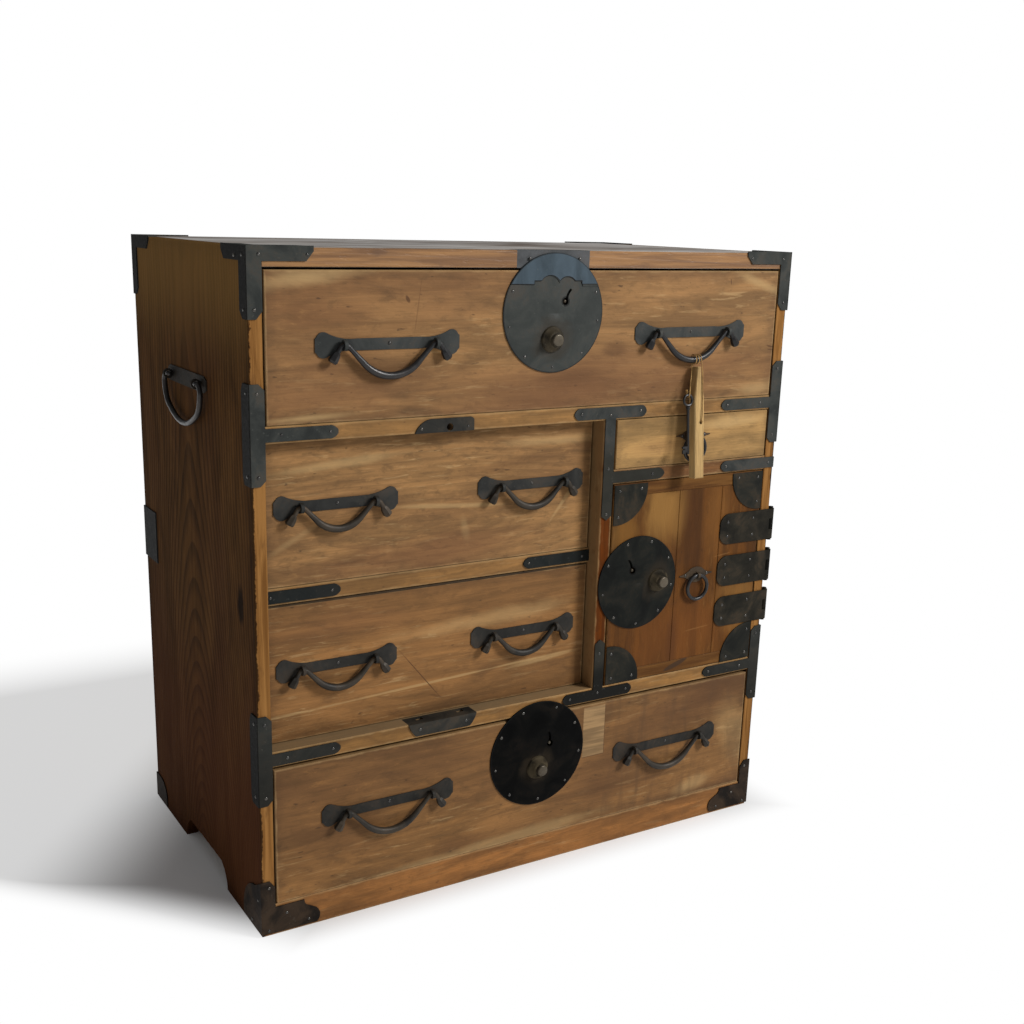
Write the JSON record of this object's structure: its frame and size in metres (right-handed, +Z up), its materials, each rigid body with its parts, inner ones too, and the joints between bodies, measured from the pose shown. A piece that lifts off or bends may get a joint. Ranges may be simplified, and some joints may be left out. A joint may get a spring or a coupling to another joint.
{
  "type": "tansu chest",
  "caption": "Small wooden merchant's chest with drawers, a hinged door, forged iron fittings, drop handles, round lock plates and a hanging key tag.",
  "frame": {"origin": "middle of the floor under the whole object, tag included", "axes": "+X to the right seen from the front, +Y to the back, +Z up"},
  "size_m": [0.7246, 0.4238, 0.7435],
  "materials": {
    "case_wood": "oiled softwood, warm brown",
    "front_wood": "worn softwood",
    "dark_wood": "dark stained softwood",
    "plain_wood": "unfinished softwood",
    "iron": "blackened forged iron",
    "tag_wood": "bare pale wood",
    "twine": "straw-coloured twine"
  },
  "bodies": {
    "case": {"left_side": "dark_wood", "right_side": "dark_wood", "top_board": "dark_wood", "base_rail": "case_wood", "bottom_board": "plain_wood", "back_boards": "plain_wood", "upper_rail": "case_wood", "lower_rail": "case_wood", "left_bay_rail": "case_wood", "right_bay_rail": "case_wood", "divider": "case_wood", "dust_boards": "plain_wood", "corner_irons": "iron", "edge_irons": "iron", "rail_irons": "iron", "strike_plate": "iron", "bar_keepers": "iron", "side_handle_mounts": "iron", "hinge_case_leaves": "iron"},
    "top_drawer": {"top_drawer_front": "front_wood", "top_drawer_box": "plain_wood", "top_drawer_mounts": "iron", "top_drawer_lock": "iron"},
    "upper_left_drawer": {"upper_left_drawer_front": "front_wood", "upper_left_drawer_box": "plain_wood", "upper_left_drawer_mounts": "iron"},
    "lower_left_drawer": {"lower_left_drawer_front": "front_wood", "lower_left_drawer_box": "plain_wood", "lower_left_drawer_mounts": "iron"},
    "small_drawer": {"small_drawer_front": "front_wood", "small_drawer_box": "plain_wood", "small_drawer_ring_mount": "iron"},
    "bottom_drawer": {"bottom_drawer_front": "front_wood", "bottom_drawer_box": "plain_wood", "bottom_drawer_mounts": "iron", "bottom_drawer_lock": "iron"},
    "door": {"door_boards": "front_wood", "door_corner_irons": "iron", "door_hinge_straps": "iron", "door_lock": "iron", "door_ring_mount": "iron"},
    "top_drawer_bail_left": {"top_drawer_bail_left": "iron"},
    "top_drawer_bail_right": {"top_drawer_bail_right": "iron"},
    "upper_left_drawer_bail_left": {"upper_left_drawer_bail_left": "iron"},
    "upper_left_drawer_bail_right": {"upper_left_drawer_bail_right": "iron"},
    "lower_left_drawer_bail_left": {"lower_left_drawer_bail_left": "iron"},
    "lower_left_drawer_bail_right": {"lower_left_drawer_bail_right": "iron"},
    "bottom_drawer_bail_left": {"bottom_drawer_bail_left": "iron"},
    "bottom_drawer_bail_right": {"bottom_drawer_bail_right": "iron"},
    "left_side_bail": {"left_side_bail": "iron"},
    "right_side_bail": {"right_side_bail": "iron"},
    "small_drawer_ring": {"small_drawer_ring": "iron"},
    "door_ring": {"door_ring": "iron"},
    "top_drawer_lock_button": {"top_drawer_lock_button": "iron"},
    "bottom_drawer_lock_button": {"bottom_drawer_lock_button": "iron"},
    "door_lock_button": {"door_lock_button": "iron"},
    "tag": {"key_tag": "tag_wood", "key": "iron", "tag_twine": "twine", "twine_hitch": "twine"}
  },
  "joints": [
    {"name": "top_drawer_slide", "type": "slide", "parent": "case", "child": "top_drawer", "axis": [0, -1, 0], "range_m": [0, 0.3]},
    {"name": "upper_left_drawer_slide", "type": "slide", "parent": "case", "child": "upper_left_drawer", "axis": [0, -1, 0], "range_m": [0, 0.28]},
    {"name": "lower_left_drawer_slide", "type": "slide", "parent": "case", "child": "lower_left_drawer", "axis": [0, -1, 0], "range_m": [0, 0.28]},
    {"name": "small_drawer_slide", "type": "slide", "parent": "case", "child": "small_drawer", "axis": [0, -1, 0], "range_m": [0, 0.14]},
    {"name": "bottom_drawer_slide", "type": "slide", "parent": "case", "child": "bottom_drawer", "axis": [0, -1, 0], "range_m": [0, 0.3]},
    {"name": "door_hinge", "type": "hinge", "parent": "case", "child": "door", "pos_m": [0.355, -0.183, 0.344], "axis": [0, 0, 1], "range_deg": [0, 175]},
    {"name": "top_drawer_bail_left_swing", "type": "hinge", "parent": "top_drawer", "child": "top_drawer_bail_left", "pos_m": [-0.1985, -0.1928, 0.6465], "axis": [-1, 0, 0], "range_deg": [0, 165]},
    {"name": "top_drawer_bail_right_swing", "type": "hinge", "parent": "top_drawer", "child": "top_drawer_bail_right", "pos_m": [0.1995, -0.1928, 0.6495], "axis": [-1, 0, 0], "range_deg": [0, 90]},
    {"name": "upper_left_drawer_bail_left_swing", "type": "hinge", "parent": "upper_left_drawer", "child": "upper_left_drawer_bail_left", "pos_m": [-0.249, -0.1724, 0.478], "axis": [-1, 0, 0], "range_deg": [0, 165]},
    {"name": "upper_left_drawer_bail_right_swing", "type": "hinge", "parent": "upper_left_drawer", "child": "upper_left_drawer_bail_right", "pos_m": [-0.0055, -0.1724, 0.479], "axis": [-1, 0, 0], "range_deg": [0, 165]},
    {"name": "lower_left_drawer_bail_left_swing", "type": "hinge", "parent": "lower_left_drawer", "child": "lower_left_drawer_bail_left", "pos_m": [-0.2495, -0.1724, 0.299], "axis": [-1, 0, 0], "range_deg": [0, 165]},
    {"name": "lower_left_drawer_bail_right_swing", "type": "hinge", "parent": "lower_left_drawer", "child": "lower_left_drawer_bail_right", "pos_m": [-0.0105, -0.1724, 0.301], "axis": [-1, 0, 0], "range_deg": [0, 165]},
    {"name": "bottom_drawer_bail_left_swing", "type": "hinge", "parent": "bottom_drawer", "child": "bottom_drawer_bail_left", "pos_m": [-0.1965, -0.1928, 0.1295], "axis": [-1, 0, 0], "range_deg": [0, 165]},
    {"name": "bottom_drawer_bail_right_swing", "type": "hinge", "parent": "bottom_drawer", "child": "bottom_drawer_bail_right", "pos_m": [0.2, -0.1928, 0.124], "axis": [-1, 0, 0], "range_deg": [0, 165]},
    {"name": "left_side_bail_swing", "type": "hinge", "parent": "case", "child": "left_side_bail", "pos_m": [-0.3568, 0.0124, 0.593], "axis": [0, 1, 0], "range_deg": [0, 150]},
    {"name": "right_side_bail_swing", "type": "hinge", "parent": "case", "child": "right_side_bail", "pos_m": [0.3568, 0.0124, 0.593], "axis": [0, -1, 0], "range_deg": [0, 150]},
    {"name": "small_drawer_ring_swing", "type": "hinge", "parent": "small_drawer", "child": "small_drawer_ring", "pos_m": [0.214, -0.1912, 0.5245], "axis": [-1, 0, 0], "range_deg": [0, 92]},
    {"name": "door_ring_swing", "type": "hinge", "parent": "door", "child": "door_ring", "pos_m": [0.233, -0.1912, 0.345], "axis": [-1, 0, 0], "range_deg": [0, 160]},
    {"name": "top_drawer_lock_button_press", "type": "slide", "parent": "top_drawer", "child": "top_drawer_lock_button", "axis": [0, 1, 0], "range_m": [0, 0.005], "stiffness_N_per_m": 400, "springref_m": -0.002},
    {"name": "bottom_drawer_lock_button_press", "type": "slide", "parent": "bottom_drawer", "child": "bottom_drawer_lock_button", "axis": [0, 1, 0], "range_m": [0, 0.005], "stiffness_N_per_m": 400, "springref_m": -0.002},
    {"name": "door_lock_button_press", "type": "slide", "parent": "door", "child": "door_lock_button", "axis": [0, 1, 0], "range_m": [0, 0.005], "stiffness_N_per_m": 400, "springref_m": -0.002},
    {"name": "tag_swing", "type": "hinge", "parent": "top_drawer_bail_right", "child": "tag", "pos_m": [0.206, -0.1928, 0.61775], "axis": [-1, 0, 0], "range_deg": [0, 92]}
  ],
  "couplings": [
    {"joint": "tag_swing", "follows": "small_drawer_slide", "rad_per_m": 11.2},
    {"joint": "small_drawer_ring_swing", "follows": "small_drawer_slide", "rad_per_m": 11.2}
  ]
}
